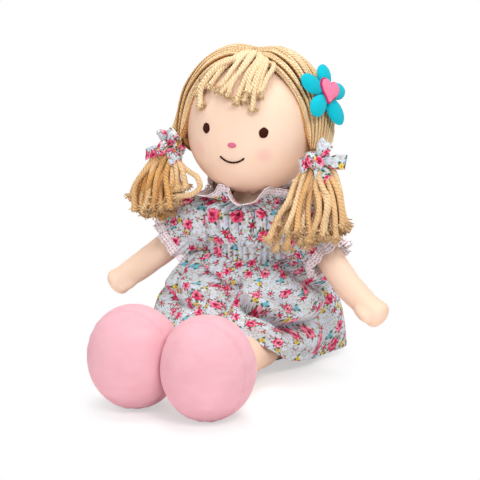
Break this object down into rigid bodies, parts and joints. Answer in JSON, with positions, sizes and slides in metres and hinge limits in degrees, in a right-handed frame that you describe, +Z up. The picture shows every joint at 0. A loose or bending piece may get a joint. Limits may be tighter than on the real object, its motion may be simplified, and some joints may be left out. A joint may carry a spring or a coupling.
{
  "type": "heatable plush doll",
  "caption": "Sitting stuffed cloth doll with a warmable grain pouch in its body, yarn pigtails with bows, a gathered print dress with lace trim, a felt flower and ball feet.",
  "frame": {"origin": "middle of the flat seat under the torso, on the surface that the doll sits on", "axes": "+Z up; the doll faces -Y with its legs stretched forward; +X is the doll's left"},
  "size_m": [0.2012, 0.2211, 0.2148],
  "materials": {
    "skin_jersey": "brushed cotton jersey in a peach skin tone",
    "stuffing": "loose polyester fibre",
    "grain_pouch": "plain calico filled with grain and lavender",
    "yarn": "twisted cotton yarn, honey blond",
    "print_cotton": "plain-weave cotton, pale lavender blue with small printed roses",
    "lace": "narrow pinkish white cotton lace",
    "pink_velour": "short-pile velour",
    "turquoise_felt": "soft felt, lightly stuffed",
    "pink_felt": "soft felt",
    "magenta_thread": "satin-stitched edge",
    "dark_thread": "embroidery thread, slight sheen",
    "pink_thread": "embroidery thread, slight sheen"
  },
  "bodies": {
    "torso": {"torso_cover": "skin_jersey", "torso_filling": "stuffing", "heat_pouch": "grain_pouch", "dress_yoke": "print_cotton", "waist_shirring": "print_cotton", "dress_skirt": "print_cotton", "collar_frill": "print_cotton", "collar_lace": "lace"},
    "head": {"head_cover": "skin_jersey", "head_filling": "stuffing", "neck": "skin_jersey", "eye_left": "dark_thread", "eye_right": "dark_thread", "nose": "pink_thread", "mouth": "dark_thread", "hair_left": "yarn", "hair_right": "yarn", "parting_seam": "yarn", "hair_fringe": "yarn", "flower": "turquoise_felt", "heart_edging": "magenta_thread", "heart": "pink_felt"},
    "pigtail_l": {"hair_tie_left": "yarn", "pigtail_left": "yarn", "bow_left": "print_cotton", "bow_knot_left": "print_cotton"},
    "pigtail_r": {"hair_tie_right": "yarn", "pigtail_right": "yarn", "bow_right": "print_cotton", "bow_knot_right": "print_cotton"},
    "arm_l": {"arm_left": "skin_jersey", "sleeve_left": "print_cotton", "cuff_lace_left": "lace"},
    "arm_r": {"arm_right": "skin_jersey", "sleeve_right": "print_cotton", "cuff_lace_right": "lace"},
    "leg_l": {"leg_left": "skin_jersey", "foot_left": "pink_velour", "sole_panel_left": "pink_velour", "foot_filling_left": "stuffing"},
    "leg_r": {"leg_right": "skin_jersey", "foot_right": "pink_velour", "sole_panel_right": "pink_velour", "foot_filling_right": "stuffing"}
  },
  "joints": [
    {"name": "neck_turn", "type": "hinge", "parent": "torso", "child": "head", "pos_m": [0, 0, 0.108], "axis": [0, 0, 1], "range_deg": [-20, 20]},
    {"name": "shoulder_left", "type": "hinge", "parent": "torso", "child": "arm_l", "pos_m": [0.034, 0, 0.097], "axis": [-1, 0, 0], "range_deg": [-25, 75], "deforming": ["sleeve_left", "pigtail_left"]},
    {"name": "shoulder_right", "type": "hinge", "parent": "torso", "child": "arm_r", "pos_m": [-0.034, 0, 0.097], "axis": [-1, 0, 0], "range_deg": [-25, 75], "deforming": ["sleeve_right", "pigtail_right"]},
    {"name": "hip_left", "type": "hinge", "parent": "torso", "child": "leg_l", "pos_m": [0.017, -0.0398, 0.015], "axis": [1, 0, 0], "range_deg": [-3, 80], "deforming": ["dress_skirt"]},
    {"name": "hip_right", "type": "hinge", "parent": "torso", "child": "leg_r", "pos_m": [-0.017, -0.0398, 0.015], "axis": [1, 0, 0], "range_deg": [-3, 80], "deforming": ["dress_skirt"]},
    {"name": "pigtail_swing_left", "type": "hinge", "parent": "head", "child": "pigtail_l", "pos_m": [0.05181, -0.01634, 0.15058], "axis": [0, -1, 0], "range_deg": [0, 35]},
    {"name": "pigtail_swing_right", "type": "hinge", "parent": "head", "child": "pigtail_r", "pos_m": [-0.05008, -0.01684, 0.15032], "axis": [0, 1, 0], "range_deg": [0, 35]}
  ]
}
